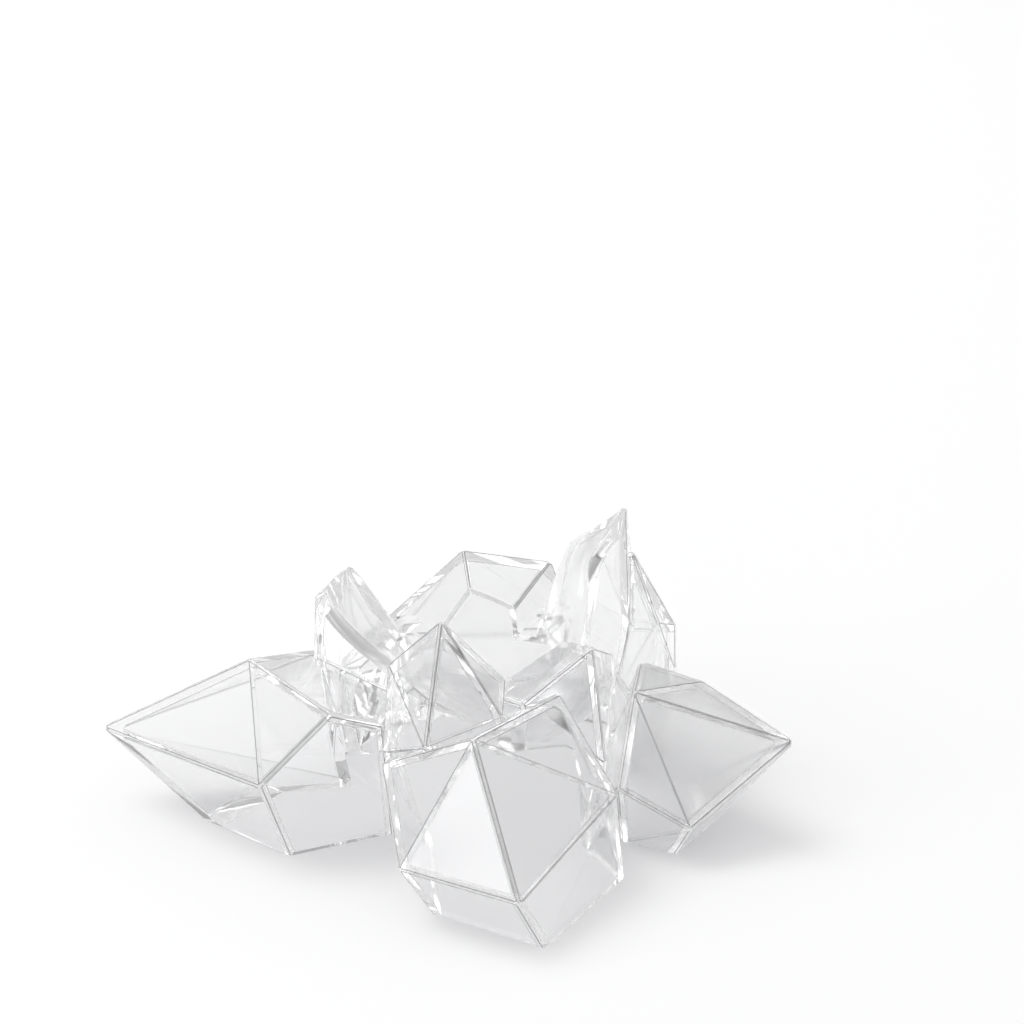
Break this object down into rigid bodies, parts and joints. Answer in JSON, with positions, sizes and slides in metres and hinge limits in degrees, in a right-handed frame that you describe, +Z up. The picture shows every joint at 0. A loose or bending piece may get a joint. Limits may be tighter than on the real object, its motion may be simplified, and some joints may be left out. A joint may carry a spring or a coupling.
{
  "type": "game controller stand",
  "caption": "Clear hollow desk stand shaped as a cluster of faceted crystals, with a smooth leaning pocket that takes one grip of a game controller, open underneath.",
  "frame": {"origin": "centre of the bounding box in X and Y, on the table under the stand", "axes": "+X to the viewer's right across the two long side crystals, +Y to the rear, +Z up"},
  "size_m": [0.1659, 0.1362, 0.0686],
  "materials": {
    "clear_plastic": "clear, polished, colourless"
  },
  "bodies": {
    "root": {"crystal_stand": "clear_plastic"}
  },
  "joints": []
}
